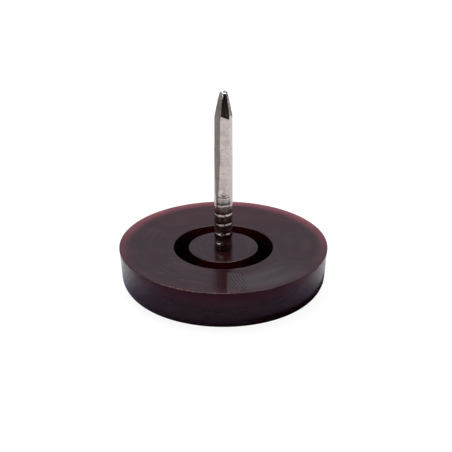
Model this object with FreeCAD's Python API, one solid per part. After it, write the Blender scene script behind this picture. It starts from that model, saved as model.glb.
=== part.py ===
import FreeCAD, Part

import math
import os

# Nail-on furniture glide: a moulded plastic disc with a steel nail moulded into it.
# Millimetres, +Z up. The sliding face lies on z = 0 and the nail stands on the Z axis.
# The front of the object is the -Y side.

# Disc
RIM_DIAMETER = 25.0
BASE_HEIGHT = 5.4
LIP_HEIGHT = 0.2          # thin lip round the top edge, left by the mould's parting line
WALL_TOP_DIAMETER = 24.9  # just under the lip
WALL_DRAFT = 5.5          # degrees, the wall leans in towards the sliding face
SOLE_EDGE_RADIUS = 2.0

# Ring groove in the top face and the boss it leaves round the nail
GROOVE_DIAMETER = 11.9
BOSS_DIAMETER = 8.3
GROOVE_DEPTH = 3.0
GROOVE_DRAFT = 1.5        # degrees, each side wall
GROOVE_FLOOR_RADIUS = 0.4

# Nail. Heights along it are measured up from the disc's top face.
NAIL_DIAMETER = 2.2
NAIL_STANDS_OUT = 20.75
HEAD_DIAMETER = 5.0
HEAD_THICKNESS = 1.0
HEAD_COVER = 1.2          # plastic left under the nail's head

# Rings that the wire grips leave under the head
RING_COUNT = 5
FIRST_RING_HEIGHT = 1.0
RING_PITCH = 1.25
RING_WIDTH = 0.52
RING_DEPTH = 0.08

# Six flats pressed along the shank, and the six-sided point
FLAT_COUNT = 6
ACROSS_FLATS = 1.9
FLATS_HEIGHT = 13.4       # the flats have their full depth from here up
FLATS_RUN_OUT = 4.0       # length over which they fade into the round wire below
FLATS_TURN = 9.0          # degrees, from the front round to the right
POINT_HEIGHT = 18.0
POINT_TWIST = 4.5         # degrees, the point against the flats
POINT_END_ACROSS = 0.82   # across flats, at the blunt end

# Room left outside the nail by the shapes that cut it
CUT_ROOM = 1.0
RUN_OUT_SPARE = 1.1       # the sloped cut goes on past the wire's surface by this factor


def rounded_outline(corners):
    """A closed outline in the XZ plane from (radius, height, rounding) corners."""
    edges = []
    last = None
    first = None
    for i, (x, z, rounding) in enumerate(corners):
        here = FreeCAD.Vector(x, 0, z)
        before = FreeCAD.Vector(corners[i - 1][0], 0, corners[i - 1][1])
        after_x, after_z, _ = corners[(i + 1) % len(corners)]
        after = FreeCAD.Vector(after_x, 0, after_z)
        start = end = here
        arc = None
        if rounding:
            back = (before - here).normalize()
            ahead = (after - here).normalize()
            half_angle = back.getAngle(ahead) / 2
            reach = rounding / math.tan(half_angle)
            start = here + back * reach
            end = here + ahead * reach
            inward = (back + ahead).normalize()
            middle = here + inward * (rounding / math.sin(half_angle) - rounding)
            arc = Part.Arc(start, middle, end).toShape()
        if last is None:
            first = start
        else:
            edges.append(Part.makeLine(last, start))
        if arc:
            edges.append(arc)
        last = end
    edges.append(Part.makeLine(last, first))
    return Part.Wire(edges)


def turned(corners):
    """The solid swept by an outline turned round the Z axis."""
    return Part.Face(rounded_outline(corners)).revolve(
        FreeCAD.Vector(0, 0, 0), FreeCAD.Vector(0, 0, 1), 360)


def pressed_flats(corners, turn):
    """Six wedges round the Z axis, each with the outline given in (distance, height)."""
    points = [FreeCAD.Vector(x, -NAIL_DIAMETER, z) for x, z in corners]
    face = Part.Face(Part.makePolygon(points + points[:1]))
    wedge = face.extrude(FreeCAD.Vector(0, 2 * NAIL_DIAMETER, 0))
    wedges = []
    for i in range(FLAT_COUNT):
        copy = wedge.copy()
        angle = -90 + turn + i * 360 / FLAT_COUNT
        copy.rotate(FreeCAD.Vector(0, 0, 0), FreeCAD.Vector(0, 0, 1), angle)
        wedges.append(copy)
    return wedges


def round_nail():
    """The nail as headed wire with its grip rings, before the flats and the point."""
    shank = NAIL_DIAMETER / 2
    head_bottom = HEAD_COVER
    head_top = head_bottom + HEAD_THICKNESS
    corners = [
        (0, head_bottom, 0),
        (HEAD_DIAMETER / 2, head_bottom, 0),
        (HEAD_DIAMETER / 2, head_top, 0),
        (shank, head_top, 0),
    ]
    for i in range(RING_COUNT):
        ring = BASE_HEIGHT + FIRST_RING_HEIGHT + i * RING_PITCH
        corners.append((shank, ring - RING_WIDTH / 2, 0))
        corners.append((shank - RING_DEPTH, ring, 0))
        corners.append((shank, ring + RING_WIDTH / 2, 0))
    tip = BASE_HEIGHT + NAIL_STANDS_OUT
    corners.append((shank, tip, 0))
    corners.append((0, tip, 0))
    return turned(corners)


def nail():
    """Steel nail: hidden head, ringed round shank, six flats and a blunt six-sided point."""
    shank = NAIL_DIAMETER / 2
    flat = ACROSS_FLATS / 2
    outside = shank + CUT_ROOM
    tip = BASE_HEIGHT + NAIL_STANDS_OUT
    above = tip + CUT_ROOM

    flats_start = BASE_HEIGHT + FLATS_HEIGHT
    run_out_end = flats_start - RUN_OUT_SPARE * FLATS_RUN_OUT
    flats_outline = [
        (flat, above),
        (flat, flats_start),
        (flat + RUN_OUT_SPARE * (shank - flat), run_out_end),
        (outside, run_out_end),
        (outside, above),
    ]

    point_start = BASE_HEIGHT + POINT_HEIGHT
    point_slope = (tip - point_start) / (flat - POINT_END_ACROSS / 2)
    point_outline = [
        (flat - (above - point_start) / point_slope, above),
        (outside, point_start - point_slope * (outside - flat)),
        (outside, above),
    ]

    shape = round_nail()
    for wedge in pressed_flats(flats_outline, FLATS_TURN):
        shape = shape.cut(wedge)
    for wedge in pressed_flats(point_outline, FLATS_TURN + POINT_TWIST):
        shape = shape.cut(wedge)
    return shape


def glide_base(nail_shape):
    """Plastic disc with its ring groove, moulded round the nail's head and shank."""
    rim = RIM_DIAMETER / 2
    wall_top = WALL_TOP_DIAMETER / 2
    lip_bottom = BASE_HEIGHT - LIP_HEIGHT
    wall_foot = wall_top - lip_bottom * math.tan(math.radians(WALL_DRAFT))
    groove_floor = BASE_HEIGHT - GROOVE_DEPTH
    groove_lean = GROOVE_DEPTH * math.tan(math.radians(GROOVE_DRAFT))
    groove_outer = GROOVE_DIAMETER / 2
    boss = BOSS_DIAMETER / 2
    disc = turned([
        (0, 0, 0),
        (wall_foot, 0, SOLE_EDGE_RADIUS),
        (wall_top, lip_bottom, 0),
        (rim, lip_bottom, 0),
        (rim, BASE_HEIGHT, 0),
        (groove_outer, BASE_HEIGHT, 0),
        (groove_outer - groove_lean, groove_floor, GROOVE_FLOOR_RADIUS),
        (boss + groove_lean, groove_floor, GROOVE_FLOOR_RADIUS),
        (boss, BASE_HEIGHT, 0),
        (0, BASE_HEIGHT, 0),
    ])
    return disc.cut(nail_shape)


nail_shape = nail()
parts = {
    "nail": nail_shape,
    "glide_base": glide_base(nail_shape),
}

os.makedirs("parts", exist_ok=True)
for name, shape in parts.items():
    shape.exportStep("parts/" + name + ".step")
    print(name, shape.isValid(), round(shape.Volume, 2))
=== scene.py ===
import math

import bpy
from mathutils import Matrix, Vector, noise


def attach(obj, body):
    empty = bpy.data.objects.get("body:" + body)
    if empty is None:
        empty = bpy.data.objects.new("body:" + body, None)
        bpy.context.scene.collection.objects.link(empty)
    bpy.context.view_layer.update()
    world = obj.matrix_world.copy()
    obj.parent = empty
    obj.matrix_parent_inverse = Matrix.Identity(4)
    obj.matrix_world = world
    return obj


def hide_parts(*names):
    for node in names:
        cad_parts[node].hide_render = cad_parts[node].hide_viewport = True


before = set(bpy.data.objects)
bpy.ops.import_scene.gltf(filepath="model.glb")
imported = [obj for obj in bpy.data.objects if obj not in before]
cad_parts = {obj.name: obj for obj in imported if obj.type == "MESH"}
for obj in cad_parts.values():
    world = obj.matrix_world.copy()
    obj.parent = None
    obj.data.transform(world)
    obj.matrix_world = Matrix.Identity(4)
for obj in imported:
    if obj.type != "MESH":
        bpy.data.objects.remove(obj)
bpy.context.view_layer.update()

MM = 0.001

# Disc, in millimetres, as in the part's source
RIM = 12.5
TOP = 5.4
LIP_HEIGHT = 0.2
LIP_EDGE = 0.05
WALL_TOP = 12.45
WALL_DRAFT = math.radians(5.5)
SOLE_EDGE = 2.0
GROOVE_OUTER = 5.95
BOSS = 4.15
GROOVE_FLOOR = 2.4
GROOVE_DRAFT = math.radians(1.5)
GROOVE_LEAN = (TOP - GROOVE_FLOOR) * math.tan(GROOVE_DRAFT)
GROOVE_EDGE = 0.08
GROOVE_FLOOR_EDGE = 0.4

# Nail, in millimetres, heights from the sliding face
SHANK = 1.1
HEAD = 2.5
HEAD_BOTTOM = 1.2
HEAD_TOP = 2.2
FIRST_RING = TOP + 1.0
RING_PITCH = 1.25
RING_WIDTH = 0.52
RING_DEPTH = 0.08
FLAT = 0.95
FLATS_START = TOP + 13.4
RUN_OUT = 4.0
FLATS_TURN = math.radians(9.0)
POINT_START = TOP + 17.5    # as in the photo, a little lower than in the solid
POINT_TWIST = math.radians(4.5)
POINT_END = 0.41
TIP = TOP + 20.75

# Marks of use and making on the disc, in millimetres
RIM_WAVE = 0.015
WAVE_SCALE = 7
NICK_DEPTH = 0.15
NICK_SCALE = 38
NICK_LEAST = 0.15           # noise below this leaves the lip whole
NICK_FROM = math.radians(-34)
NICK_TO = math.radians(2)

# Marks of use and making on the nail, in millimetres
DIE_SEAM = math.radians(8)
DIE_SEAM_WIDTH = math.radians(9)
DIE_STEP = 0.05
SEAM_LOSS = 0.8             # share of a ring's depth that is lost at the seam
SIDE_DEPTH = 0.35           # share of a ring's depth at the nail's left and right
RING_LEFT = [1.0, 0.95, 0.45, 0.45, 0.06]   # share of the full depth left on each ring, lowest first
RING_RIGHT = [0.4, 0.55, 0.6, 0.45, 0.06]
SCUFF_WIDTH = 0.2
SCUFF_DEPTH = 0.025
TIP_EDGE = 0.06
TIP_LENGTH = 1.0            # stretch over which the wear of the tip fades out
TIP_WORN = 0.2
LEFT_LOWER = 0.1
NOTCH_PLACE = -0.1
NOTCH_WIDTH = 0.12
NOTCH_DEPTH = 0.4
CHIP_ANGLE = math.radians(60)
CHIP_REACH = math.radians(6)
CHIP_HEIGHT = TOP + 17.5
CHIP_LENGTH = 0.45
CHIP_DEPTH = 0.06
RAGGED = 0.06
RAGGED_SIDE = 0.8           # sine of the angle round the nail from which its right side is ragged
RAGGED_FROM = POINT_START + 0.4

# Short scuffs across the front of the nail: height, angle of the middle, half the angle they cover
SCUFFS = [
    (TOP + 7.28, math.radians(5), math.radians(17)),
    (TOP + 6.97, math.radians(2), math.radians(28)),
    (TOP + 6.05, math.radians(8), math.radians(9)),
]

# How finely the pieces are meshed, in millimetres and degrees
DISC_SEGMENTS = 512
DISC_STRETCH = 0.8
DISC_SHARP = 30.0
EDGE_STEPS = 10
NAIL_SEGMENTS = 216
NAIL_SHARP = 7.0
NAIL_SUNK = 0.2
RINGS_END = TOP + 7.5
RINGS_STEP = 0.04
RUN_OUT_STEP = 0.1
FLATS_STEP = 0.5
FACETS_BEGIN = POINT_START - 1.2
FACETS_FULL = POINT_START + 0.3
FACETS_STEP = 0.03
POINT_STEP = 0.06
TIP_RINGS = 5

# Colours of the plastic: its own tones, and painted light and shade
PLASTIC_DARK = (0.013, 0.0022, 0.0028)
PLASTIC_LIGHT = (0.020, 0.0038, 0.0048)
WALL_LIT_COLOUR = (0.070, 0.0085, 0.020)
BACKLIT_COLOUR = (0.038, 0.003, 0.004)
STREAK_SHEEN_COLOUR = (0.036, 0.014, 0.019)
SHEEN_PATCH_COLOUR = (0.042, 0.032, 0.038)
RIM_GLOW = (0.33, 0.082, 0.10)
GROOVE_GLOW = (0.065, 0.004, 0.006)
SHADED_COLOUR = (0.003, 0.001, 0.001)
HAIRLINE_GLINT_COLOUR = (0.072, 0.050, 0.054)
LIP_HIGHLIGHT_COLOUR = (0.20, 0.105, 0.11)

# Relief and wear of the plastic, in millimetres
MARK_SHORTENING = 0.4       # how far round the moulding marks vary, for each radian
HAIRLINE_PITCH = 0.36
HAIRLINE_ACROSS = (0.95, 0.31)
HAIRLINE_WOBBLE = 0.4
PLASTIC_RELIEF = 0.08
PLASTIC_RELIEF_STRENGTH = 0.7
PLASTIC_IOR = 1.5

# Colours and relief of the steel
STEEL_BRIGHT = (0.74, 0.665, 0.63)
STEEL_DULL = (0.58, 0.51, 0.48)
SPECK_COLOUR = (0.22, 0.18, 0.16)
GRAIN_COLOUR = (0.34, 0.29, 0.27)
LOW_DARK_COLOUR = (0.22, 0.17, 0.13)
STEEL_RELIEF = 0.02
STEEL_RELIEF_STRENGTH = 0.10

# Stage colours and strengths
FLOOR_COLOUR = (0.74, 0.735, 0.765)
SEEN_FLOOR_COLOUR = (0.15, 0.15, 0.15)
SEEN_FLOOR_GLOW = 0.93
CARD_COLOUR = (0.26, 0.255, 0.235)
DARK_CARD_COLOUR = (0.03, 0.025, 0.025)
SHADE_COLOUR = (0.12, 0.095, 0.21)
BAND_SHADE_COLOUR = (0.03, 0.022, 0.018)
CARD_ROUGHNESS = 0.9
ROOM_COLOUR = (0.87, 0.86, 1.0)
ROOM_FRONT = 0.015
ROOM_BACK = 0.43

# Stage sizes: the shade's place in millimetres, the rest in metres
SHADE_PLACE = -9.0
FLOOR_REACH = 5.0
CARD_HEIGHT = 0.0002
BAND_HEIGHT = 0.0003
NAIL_MIDDLE = (0, 0, 0.012)
STRIP_HEIGHT = 0.05

# Camera, fitted to the rim, groove and nail in the photo
CAMERA_ELEVATION = math.radians(26.116)
CAMERA_DISTANCE = 1000.0
PIXELS_PER_MM = 8.348
AIM = (0.314, 0.0, TOP + 2.8)
PHOTO_WIDTH = 452
SENSOR = 36.0


def rounded(corners, steps):
    """Points of an open outline through (radius, height, rounding) corners."""
    points = []
    for i, (x, z, rounding) in enumerate(corners):
        here = Vector((x, z))
        if not rounding:
            points.append((x, z))
            continue
        back = (Vector(corners[i - 1][:2]) - here).normalized()
        ahead = (Vector(corners[i + 1][:2]) - here).normalized()
        half = back.angle(ahead) / 2
        centre = here + (back + ahead).normalized() * (rounding / math.sin(half))
        start = here + back * (rounding / math.tan(half)) - centre
        end = here + ahead * (rounding / math.tan(half)) - centre
        sweep = start.angle_signed(end)
        for k in range(steps + 1):
            turned = Matrix.Rotation(-sweep * k / steps, 2) @ start
            points.append(tuple(centre + turned))
    return points


def subdivided(points, longest):
    """The same outline with no stretch longer than the given length."""
    out = [points[0]]
    for a, b in zip(points, points[1:]):
        pieces = max(1, math.ceil(math.dist(a, b) / longest))
        for k in range(1, pieces + 1):
            f = k / pieces
            out.append((a[0] + (b[0] - a[0]) * f, a[1] + (b[1] - a[1]) * f))
    return out


def lathe(name, outline, segments, shape, sharp):
    """A closed mesh of an outline that starts and ends on the Z axis, in millimetres.

    Angles go round from the front (-Y) towards the right (+X).
    """
    verts = []
    faces = []
    rings = []
    for r, z in outline:
        if r < 1e-9:
            rings.append([len(verts)])
            verts.append((0.0, 0.0, z * MM))
            continue
        ring = []
        for k in range(segments):
            a = 2 * math.pi * k / segments
            radius, height = shape(r, z, a)
            ring.append(len(verts))
            verts.append((radius * math.sin(a) * MM, -radius * math.cos(a) * MM, height * MM))
        rings.append(ring)
    for low, high in zip(rings, rings[1:]):
        for k in range(segments):
            n = (k + 1) % segments
            if len(low) == 1:
                faces.append((low[0], high[n], high[k]))
            elif len(high) == 1:
                faces.append((low[k], low[n], high[0]))
            else:
                faces.append((low[k], low[n], high[n], high[k]))
    mesh = bpy.data.meshes.new(name)
    mesh.from_pydata(verts, [], faces)
    mesh.validate()
    mesh.shade_smooth()
    mesh.set_sharp_from_angle(angle=math.radians(sharp))
    obj = bpy.data.objects.new(name, mesh)
    bpy.context.collection.objects.link(obj)
    return obj


def disc_place(r, z, a):
    """Radius and height on the disc, with a slightly wavy lip that is nicked at the left front."""
    if r < WALL_TOP + LIP_EDGE / 4 or z < TOP - LIP_HEIGHT - LIP_EDGE:
        return r, z
    round_place = Vector((math.sin(a), math.cos(a), 0.0))
    inward = RIM_WAVE * (0.5 + 0.5 * noise.noise(round_place * WAVE_SCALE))
    turn = (a + math.pi) % (2 * math.pi) - math.pi
    if z > TOP - LIP_HEIGHT / 2 and NICK_FROM < turn < NICK_TO:
        inward += NICK_DEPTH * max(0.0, noise.noise(round_place * NICK_SCALE) - NICK_LEAST)
    return r - inward, z


def disc_mesh():
    """The moulded disc, with the small unevenness of its rim."""
    foot = WALL_TOP - (TOP - LIP_HEIGHT) * math.tan(WALL_DRAFT)
    corners = [
        (0, 0, 0),
        (foot, 0, SOLE_EDGE),
        (WALL_TOP, TOP - LIP_HEIGHT, 0),
        (RIM, TOP - LIP_HEIGHT, LIP_EDGE / 2),
        (RIM, TOP, LIP_EDGE),
        (GROOVE_OUTER, TOP, GROOVE_EDGE),
        (GROOVE_OUTER - GROOVE_LEAN, GROOVE_FLOOR, GROOVE_FLOOR_EDGE),
        (BOSS + GROOVE_LEAN, GROOVE_FLOOR, GROOVE_FLOOR_EDGE),
        (BOSS, TOP, GROOVE_EDGE),
        (SHANK, TOP, 0),
        (SHANK, HEAD_TOP, 0),
        (HEAD, HEAD_TOP, 0),
        (HEAD, HEAD_BOTTOM, 0),
        (0, HEAD_BOTTOM, 0),
    ]
    outline = subdivided(rounded(corners, EDGE_STEPS), DISC_STRETCH)
    return lathe("glide_disc", outline, DISC_SEGMENTS, disc_place, DISC_SHARP)


def ring_dip(z, middle, width, depth):
    """Depth of a rounded ring mark at a height."""
    off = (z - middle) / (width / 2)
    if abs(off) > 1:
        return 0.0
    return depth * (0.5 + 0.5 * math.cos(math.pi * off))


def nail_radius(z, a):
    """Distance of the nail's surface from its axis, at a height and an angle from the front."""
    seam = (a - DIE_SEAM + math.pi / 2) % math.pi - math.pi / 2
    pressed = RING_DEPTH * (1 - SEAM_LOSS * math.exp(-(seam / DIE_SEAM_WIDTH) ** 2))
    pressed *= SIDE_DEPTH + (1 - SIDE_DEPTH) * abs(math.cos(a))
    on_right = math.sin(a - DIE_SEAM) > 0
    step = DIE_STEP if on_right else 0.0
    dip = 0.0
    for i, share in enumerate(RING_RIGHT if on_right else RING_LEFT):
        dip += ring_dip(z, FIRST_RING + i * RING_PITCH + step, RING_WIDTH, pressed * share)
    for height, middle, reach in SCUFFS:
        off = ((a - middle + math.pi) % (2 * math.pi) - math.pi) / reach
        dip += ring_dip(z, height, SCUFF_WIDTH, SCUFF_DEPTH * math.exp(-off ** 4))
    radius = SHANK - dip
    side = math.pi / 3
    if z > FLATS_START - RUN_OUT:
        flat = FLAT + max(0.0, FLATS_START - z) / RUN_OUT * (SHANK - FLAT)
        off = (a - FLATS_TURN + side / 2) % side - side / 2
        radius = min(radius, flat / math.cos(off))
    if z > POINT_START - 1:
        facet = FLAT - (z - POINT_START) * (FLAT - POINT_END) / (TIP - POINT_START)
        off = (a - FLATS_TURN - POINT_TWIST + side / 2) % side - side / 2
        radius = min(radius, facet / math.cos(off))
        radius -= max(0.0, z - TIP + TIP_EDGE)
        across = (a - CHIP_ANGLE) / CHIP_REACH
        along = (z - CHIP_HEIGHT) / CHIP_LENGTH
        radius -= CHIP_DEPTH * math.exp(-across ** 2 - along ** 4)
        if math.sin(a) > RAGGED_SIDE and z > RAGGED_FROM:
            radius -= RAGGED * max(0.0, noise.noise(Vector((3 * a, 4 * z, 0))))
    return radius


def nail_place(r, z, a):
    """Radius and height on the nail, with a worn tip that is split by a small notch."""
    if z <= HEAD_TOP:
        return r, z
    radius = nail_radius(z, a) * r / SHANK
    off = abs(radius * math.sin(a) - NOTCH_PLACE) / NOTCH_WIDTH
    lower = TIP_WORN + NOTCH_DEPTH * max(0.0, 1 - off)
    if radius * math.sin(a) < NOTCH_PLACE:
        lower += LEFT_LOWER
    return radius, z - lower * max(0.0, (z - TIP) / TIP_LENGTH + 1)


def spaced(start, end, step):
    """Heights from start up to end, about one step apart."""
    count = round((end - start) / step)
    return [start + (end - start) * k / count for k in range(count)]


def nail_mesh():
    """The nail: hidden head, ringed round shank, flats and point."""
    outline = [(0, HEAD_BOTTOM), (HEAD, HEAD_BOTTOM), (HEAD, HEAD_TOP), (SHANK, HEAD_TOP)]
    heights = spaced(TOP - NAIL_SUNK, RINGS_END, RINGS_STEP)
    heights += spaced(RINGS_END, FLATS_START, RUN_OUT_STEP)
    heights += spaced(FLATS_START, FACETS_BEGIN, FLATS_STEP)
    heights += spaced(FACETS_BEGIN, FACETS_FULL, FACETS_STEP)
    heights += spaced(FACETS_FULL, TIP - TIP_EDGE, POINT_STEP)
    heights += [TIP - TIP_EDGE, TIP]
    outline += [(SHANK, z) for z in heights]
    outline += [(SHANK * (1 - k / TIP_RINGS), TIP) for k in range(1, TIP_RINGS)]
    outline.append((0, TIP - TIP_WORN))
    return lathe("steel_nail", outline, NAIL_SEGMENTS, nail_place, NAIL_SHARP)


class Nodes:
    """Short ways to add and join the nodes of a material or of the world."""

    def __init__(self, owner):
        owner.use_nodes = True
        self.owner = owner
        self.tree = owner.node_tree

    def add(self, kind, **settings):
        node = self.tree.nodes.new("ShaderNode" + kind)
        for name, value in settings.items():
            setattr(node, name, value)
        return node

    def join(self, out, into):
        self.tree.links.new(out, into)

    def feed(self, value, socket):
        """Gives a socket its value: another socket, a plain colour or a number."""
        if isinstance(value, bpy.types.NodeSocket):
            self.join(value, socket)
        elif isinstance(value, tuple):
            socket.default_value = value + (1,)
        else:
            socket.default_value = value

    def surface(self, values):
        """Sets inputs of the material's main shader by their names."""
        shader = self.tree.nodes["Principled BSDF"]
        for name, value in values.items():
            self.feed(value, shader.inputs[name])

    def axes(self, vector):
        """The three parts of a vector."""
        split = self.add("SeparateXYZ")
        self.join(vector, split.inputs[0])
        return split.outputs

    def locate(self):
        """Finds the place on the object, in millimetres, and its radius and angle round the Z axis.

        The angle is in radians and goes round from the front towards the right.
        """
        scaled = self.add("VectorMath", operation="SCALE")
        self.join(self.add("TexCoord").outputs["Object"], scaled.inputs[0])
        scaled.inputs["Scale"].default_value = 1 / MM
        self.place = scaled.outputs[0]
        self.x, self.y, self.z = self.axes(self.place)
        self.radius = self.length(self.x, self.y)
        self.angle = self.math("ARCTAN2", self.x, self.times(self.y, -1))

    def math(self, operation, a, b=0.0):
        """A sum on one or two values, each a socket or a number."""
        node = self.add("Math", operation=operation)
        self.feed(a, node.inputs[0])
        self.feed(b, node.inputs[1])
        return node.outputs[0]

    def times(self, first, *others):
        """The product of several values."""
        for value in others:
            first = self.math("MULTIPLY", first, value)
        return first

    def length(self, a, b):
        """The length of a line from its two parts at right angles."""
        return self.math("SQRT", self.math("ADD", self.times(a, a), self.times(b, b)))

    def ramp(self, value, low, high, to_low=0.0, to_high=1.0, curve="SMOOTHSTEP"):
        """A value mapped from one range to another and held inside it."""
        node = self.add("MapRange", interpolation_type=curve)
        self.join(value, node.inputs["Value"])
        node.inputs["From Min"].default_value = low
        node.inputs["From Max"].default_value = high
        node.inputs["To Min"].default_value = to_low
        node.inputs["To Max"].default_value = to_high
        return node.outputs[0]

    def window(self, value, begin, full, fade, end):
        """1 from full to fade, and smoothly down to 0 at begin and at end."""
        return self.times(self.ramp(value, begin, full), self.ramp(value, end, fade))

    def noise(self, vector, scale, detail=2.0, stretch=(1, 1, 1)):
        """Noise over a vector, stretched by axis."""
        mapping = self.add("Mapping")
        mapping.inputs["Scale"].default_value = stretch
        self.join(vector, mapping.inputs["Vector"])
        node = self.add("TexNoise")
        node.inputs["Scale"].default_value = scale
        node.inputs["Detail"].default_value = detail
        self.join(mapping.outputs[0], node.inputs["Vector"])
        return node.outputs["Fac"]

    def blend(self, amount, a, b):
        """One colour turning into another; each is a socket or a plain colour."""
        node = self.add("Mix", data_type="RGBA")
        self.join(amount, node.inputs["Factor"])
        self.feed(a, node.inputs["A"])
        self.feed(b, node.inputs["B"])
        return node.outputs["Result"]

    def combine(self, x, y, z):
        """A vector from three values, each a socket or a number."""
        node = self.add("CombineXYZ")
        for value, socket in zip((x, y, z), node.inputs):
            self.feed(value, socket)
        return node.outputs[0]

    def bump(self, height, strength, distance):
        """A normal that follows a height; the distance is in millimetres."""
        node = self.add("Bump")
        node.inputs["Strength"].default_value = strength
        node.inputs["Distance"].default_value = distance * MM
        self.join(height, node.inputs["Height"])
        return node.outputs[0]

    def split_camera(self, others, camera, output):
        """Joins one shader for the camera and one for all other rays to the output."""
        path = self.add("LightPath")
        mix = self.add("MixShader")
        self.join(path.outputs["Is Camera Ray"], mix.inputs["Fac"])
        self.join(others.outputs[0], mix.inputs[1])
        self.join(camera.outputs[0], mix.inputs[2])
        self.join(mix.outputs[0], output.inputs["Surface"])


def moulding_marks(m):
    """Fine rings that the mould left on the top: their pattern, and how strong they are."""
    swirl = m.combine(m.radius, m.times(m.angle, MARK_SHORTENING), 0)
    marks = m.noise(swirl, 3.0, 3.0, (1, 0.7, 1))
    patches = m.ramp(m.noise(m.place, 0.3, 3.0), 0.35, 0.65, 0.15, 1.0)
    on_boss = m.ramp(m.radius, BOSS + 0.15, BOSS - 0.15, 0.0, 0.6)
    return marks, m.math("MAXIMUM", patches, on_boss)


def hairlines(m, on_top):
    """Slanted hairlines on the top in front, just right of the nail, at the edge of its reflection; their
    light tone is a painted glint.
    """
    across_x, across_y = HAIRLINE_ACROSS
    across = m.math("ADD", m.times(m.x, across_x), m.times(m.y, across_y))
    across = m.math("ADD", across, m.times(m.noise(m.place, 0.8), HAIRLINE_WOBBLE))
    waves = m.math("SINE", m.times(across, 2 * math.pi / HAIRLINE_PITCH))
    ahead = m.ramp(m.y, -6.2, -7.2)
    beside = m.window(m.x, 0.2, 0.8, 1.6, 3.2)
    return m.times(waves, ahead, beside, on_top)


def plastic_body(m, on_wall):
    """Mottled dark brown, turning redder and lighter up the wall: painted light coming through the thin
    lip.
    """
    mottle = m.ramp(m.noise(m.place, 0.9, 4.0), 0.3, 0.7)
    colour = m.blend(mottle, PLASTIC_DARK, PLASTIC_LIGHT)
    # painted light: the wall lighter and redder towards the lip, as if lit through it
    lit_wall = m.times(on_wall, m.ramp(m.z, 2.6, TOP - LIP_HEIGHT, 0.25, 1.0))
    return m.blend(lit_wall, colour, WALL_LIT_COLOUR)


def marked_top(m, colour, marks, patches, on_top):
    """Moulding marks whose light tone is partly painted sheen, fading towards the back, which is painted
    redder as backlight; and a painted sheen patch at the front right.
    """
    at_back = m.ramp(m.y, 3, 9)
    # painted backlight: the back of the top turns redder
    colour = m.blend(m.times(at_back, 0.5), colour, BACKLIT_COLOUR)
    # the moulding marks' lighter tone is partly painted sheen
    streak_sheen = m.times(m.ramp(marks, 0.4, 0.65, 0.0, 0.8), on_top, patches)
    streak_sheen = m.times(streak_sheen, m.ramp(at_back, 0, 1, 1.0, 0.3))
    colour = m.blend(streak_sheen, colour, STREAK_SHEEN_COLOUR)
    # painted sheen: a lighter stretch of the top at the front right
    sector = m.window(m.angle, 0.1, 0.3, 0.6, 1.2)
    outer = m.window(m.radius, 7, 9, 11.3, 12)
    sheen_patch = m.times(sector, outer, m.ramp(marks, 0.3, 0.6, 0.3, 1.0), on_top)
    return m.blend(sheen_patch, colour, SHEEN_PATCH_COLOUR)


def light_through(m, colour, in_groove):
    """Red of light through the thin rim, stronger towards the back, and through the groove's walls."""
    near_rim = m.ramp(m.radius, RIM - 1.6, RIM - 0.1)
    near_top = m.ramp(m.z, TOP - 0.8, TOP - 0.02)
    from_behind = m.ramp(m.y, -6, 12, 0.05, 0.75)
    patchy = m.ramp(m.noise(m.place, 0.35), 0.3, 0.7, 0.7, 1.0)
    colour = m.blend(m.times(near_rim, near_top, from_behind, patchy), colour, RIM_GLOW)
    below_top = m.ramp(m.z, TOP - 0.05, TOP - 0.15)
    front_or_back = m.ramp(m.math("ABSOLUTE", m.math("COSINE", m.angle)), 0.55, 0.95)
    return m.blend(m.times(in_groove, below_top, front_or_back), colour, GROOVE_GLOW)


def lip_highlight(m, colour):
    """Painted highlight along the top edge of the lip at the left front, broken up where the lip is
    nicked.
    """
    along = m.combine(m.times(m.angle, RIM), 0, 0)
    highlight_specks = m.ramp(m.noise(along, 2.6, 5.0), 0.4, 0.68, 0.15, 1.0)
    sector = m.window(m.angle, -0.75, -0.55, -0.1, 0.35)
    at_edge = m.ramp(m.radius, RIM - 0.2, RIM - 0.08)
    at_top = m.ramp(m.z, TOP - 0.13, TOP - 0.07)
    return m.blend(m.times(highlight_specks, sector, at_edge, at_top), colour, LIP_HIGHLIGHT_COLOUR)


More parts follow.
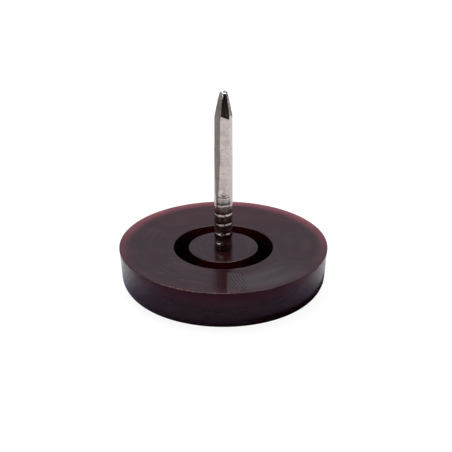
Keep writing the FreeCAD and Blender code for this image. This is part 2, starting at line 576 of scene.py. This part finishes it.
def plastic_material():
    """Dark red-brown moulded plastic, semi-gloss, redder where thin edges let light in."""
    m = Nodes(bpy.data.materials.new("brown_plastic"))
    m.locate()
    on_top = m.ramp(m.z, TOP - 0.1, TOP - 0.04)
    on_wall = m.times(m.ramp(m.radius, 9.0, 11.6), m.ramp(m.z, TOP - 0.05, TOP - LIP_HEIGHT))
    in_groove = m.window(m.radius, BOSS - 0.25, BOSS - 0.05, GROOVE_OUTER + 0.05, GROOVE_OUTER + 0.25)
    deep = m.times(in_groove, m.ramp(m.z, TOP - 0.8, TOP - 1.4))
    at_nail = m.ramp(m.radius, SHANK + 0.35, SHANK + 0.05)
    marks, patches = moulding_marks(m)
    hairs_and_glints = hairlines(m, on_top)

    colour = plastic_body(m, on_wall)
    colour = marked_top(m, colour, marks, patches, on_top)
    colour = light_through(m, colour, in_groove)
    colour = m.blend(m.math("MAXIMUM", deep, at_nail), colour, SHADED_COLOUR)
    # painted glint along the hairlines where the nail's reflection crosses them
    colour = m.blend(m.ramp(hairs_and_glints, 0.3, 0.95, 0.0, 0.55), colour, HAIRLINE_GLINT_COLOUR)
    # painted highlight on the lip's front edge
    colour = lip_highlight(m, colour)

    scored = m.math("ADD", m.times(marks, patches), m.times(hairs_and_glints, 0.5))
    grain = m.times(m.noise(m.place, 5.0), m.ramp(on_wall, 0, 1, 0.3, 0.08))
    relief = m.math("ADD", m.times(scored, on_top), grain)

    worn = m.ramp(m.noise(m.place, 1.5, 4.0), 0.3, 0.7, -0.03, 0.03)
    roughness = m.math("ADD", worn, m.ramp(m.radius, 2, 9, 0.12, 0.19))
    roughness = m.math("ADD", roughness, m.times(deep, 0.5))
    m.surface({
        "Base Color": colour,
        "Roughness": roughness,
        "Specular IOR Level": m.ramp(deep, 0, 1, 0.5, 0.0),
        "IOR": PLASTIC_IOR,
        "Normal": m.bump(relief, PLASTIC_RELIEF_STRENGTH, PLASTIC_RELIEF),
    })
    return m.owner


def steel_material():
    """Bright plated steel with drawing lines, blotches and specks, darker low down over the grip rings.
    """
    m = Nodes(bpy.data.materials.new("plated_steel"))
    m.locate()
    lines = m.noise(m.place, 14.0, 3.0, (1, 1, 0.06))
    blotches = m.ramp(m.noise(m.place, 1.3, 4.0), 0.35, 0.7)
    colour = m.blend(blotches, STEEL_BRIGHT, STEEL_DULL)
    specks = m.ramp(m.noise(m.place, 4.0), 0.66, 0.74)
    colour = m.blend(specks, colour, SPECK_COLOUR)
    grain = m.noise(m.place, 7.0, 4.0)
    colour = m.blend(m.ramp(grain, 0.45, 0.75, 0.0, 0.6), colour, GRAIN_COLOUR)
    # darker towards the foot of the nail, over the grip rings
    low_down = m.ramp(m.z, TOP + 5.6, TOP + 3)
    darker_low = m.times(low_down, m.ramp(grain, 0.2, 0.7, 0.9, 0.3))
    colour = m.blend(darker_low, colour, LOW_DARK_COLOUR)
    m.surface({
        "Base Color": colour,
        "Metallic": 1.0,
        "Roughness": m.ramp(lines, 0.3, 0.7, 0.08, 0.16),
        "Normal": m.bump(lines, STEEL_RELIEF_STRENGTH, STEEL_RELIEF),
    })
    return m.owner


def floor_material():
    """White floor: plainly lit for the object, and white with a soft shadow for the camera."""
    m = Nodes(bpy.data.materials.new("floor"))
    m.tree.nodes.remove(m.tree.nodes["Principled BSDF"])
    lit = m.add("BsdfDiffuse")
    m.feed(FLOOR_COLOUR, lit.inputs["Color"])
    seen = m.add("BsdfDiffuse")
    m.feed(SEEN_FLOOR_COLOUR, seen.inputs["Color"])
    glow = m.add("Emission")
    m.feed(SEEN_FLOOR_GLOW, glow.inputs["Strength"])
    both = m.add("AddShader")
    m.join(seen.outputs[0], both.inputs[0])
    m.join(glow.outputs[0], both.inputs[1])
    m.split_camera(lit, both, m.tree.nodes["Material Output"])
    return m.owner


def card_material(name, colour):
    """Matt card of one colour."""
    m = Nodes(bpy.data.materials.new(name))
    m.surface({"Base Color": colour, "Roughness": CARD_ROUGHNESS, "Specular IOR Level": 0.0})
    return m


def shade_material():
    """Dark card that fades out from its middle, like the object's own reflection in a glossy table."""
    m = card_material("shade", SHADE_COLOUR)
    m.locate()
    away = m.length(m.x, m.math("SUBTRACT", m.y, SHADE_PLACE))
    m.surface({"Alpha": m.ramp(away, 12.5, 21, 0.75, 0.0)})
    return m


def band_shade_material():
    """Painted shade on the table in front: a dark curved band which the nail's foot reflects, and a
    painted shadow where the disc meets the table at the right front.
    """
    m = card_material("band", BAND_SHADE_COLOUR)
    m.locate()
    band = m.times(m.window(m.radius, 16.5, 20.5, 24.5, 25.5), m.ramp(m.y, 6, 0))
    # painted shadow beside the disc's foot at the right front
    contact_shadow = m.times(m.ramp(m.radius, 14, 13), m.ramp(m.x, 0, 8))
    m.surface({"Alpha": m.math("ADD", band, contact_shadow)})
    return m


def flat_sheet(name, x, y, height, material):
    """A level rectangle of the stage, in metres."""
    mesh = bpy.data.meshes.new(name)
    corners = [(x[0], y[0]), (x[1], y[0]), (x[1], y[1]), (x[0], y[1])]
    mesh.from_pydata([corner + (height,) for corner in corners], [], [(0, 1, 2, 3)])
    mesh.materials.append(material)
    sheet = bpy.data.objects.new(name, mesh)
    bpy.context.collection.objects.link(sheet)
    return sheet


def hidden_card(name, x, y, material, height=CARD_HEIGHT):
    """A card on the floor that only reflections show."""
    card = flat_sheet(name, x, y, height, material.owner)
    card.visible_camera = False
    card.visible_shadow = False


def make_floor():
    """A wide white floor, with dark cards on it round the object that only reflections show."""
    reach = (-FLOOR_REACH, FLOOR_REACH)
    flat_sheet("floor", reach, reach, 0, floor_material())
    card = card_material("card", CARD_COLOUR)
    dark = card_material("dark_card", DARK_CARD_COLOUR)
    hidden_card("left_card", (-0.25, -0.024), (-0.03, 0.06), card)
    hidden_card("near_card", (-0.022, 0.022), (-0.031, 0.013), shade_material())
    hidden_card("band_card", (-0.03, 0.03), (-0.03, 0.01), band_shade_material(), BAND_HEIGHT)
    hidden_card("back_card", (-0.009, 0.007), (0.02, 0.08), card)
    hidden_card("right_card", (0.036, 0.1), (0.04, 0.12), card)
    hidden_card("front_card", (-2, 2), (-3, -0.09), dark)


def make_world():
    """Dim room, lighter behind the object than in front, and white where the camera sees it."""
    world = bpy.data.worlds.new("room")
    bpy.context.scene.world = world
    m = Nodes(world)
    m.tree.nodes.clear()
    backward = m.axes(m.add("TexCoord").outputs["Generated"])["Y"]
    room = m.add("Background")
    m.feed(ROOM_COLOUR, room.inputs["Color"])
    m.feed(m.ramp(backward, -0.1, 0.8, ROOM_FRONT, ROOM_BACK, "LINEAR"), room.inputs["Strength"])
    white = m.add("Background")
    m.feed((1.0, 1.0, 1.0), white.inputs["Color"])
    m.split_camera(room, white, m.add("OutputWorld"))


def softbox(name, place, aim, width, height, watts):
    """An area lamp, in metres and watts."""
    lamp = bpy.data.lights.new(name, "AREA")
    lamp.shape = "RECTANGLE"
    lamp.size = width
    lamp.size_y = height
    lamp.energy = watts
    obj = bpy.data.objects.new(name, lamp)
    obj.location = place
    obj.rotation_euler = (Vector(aim) - Vector(place)).to_track_quat("-Z", "Y").to_euler()
    bpy.context.collection.objects.link(obj)


def make_lights():
    """A softbox overhead, a small one low down at the left front, and a low strip at each side."""
    softbox("overhead", (-0.01, 0.02, 0.26), (0, 0, 0), 0.26, 0.26, 0.90)
    softbox("left_front", (-0.22, -0.22, 0.06), NAIL_MIDDLE, 0.07, 0.07, 0.016)
    softbox("left_strip", (-0.25, -0.15, 0.05), NAIL_MIDDLE, 0.34, STRIP_HEIGHT, 0.042)
    softbox("right_strip", (0.27, -0.10, 0.05), NAIL_MIDDLE, 0.24, STRIP_HEIGHT, 0.03)


def make_camera():
    """Long lens looking down at the glide, as in the photo."""
    camera = bpy.data.cameras.new("camera")
    camera.sensor_width = SENSOR
    camera.lens = PIXELS_PER_MM * CAMERA_DISTANCE * SENSOR / PHOTO_WIDTH
    obj = bpy.data.objects.new("camera", camera)
    back = Vector((0, -math.cos(CAMERA_ELEVATION), math.sin(CAMERA_ELEVATION)))
    obj.location = (Vector(AIM) + back * CAMERA_DISTANCE) * MM
    obj.rotation_euler = (math.pi / 2 - CAMERA_ELEVATION, 0, 0)
    bpy.context.collection.objects.link(obj)
    bpy.context.scene.camera = obj


disc = disc_mesh()
disc.data.materials.append(plastic_material())
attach(disc, "root")
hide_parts("glide_base")

nail = nail_mesh()
nail.data.materials.append(steel_material())
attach(nail, "root")
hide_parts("nail")

make_floor()
make_world()
make_lights()
make_camera()
bpy.context.scene.view_settings.view_transform = "Standard"
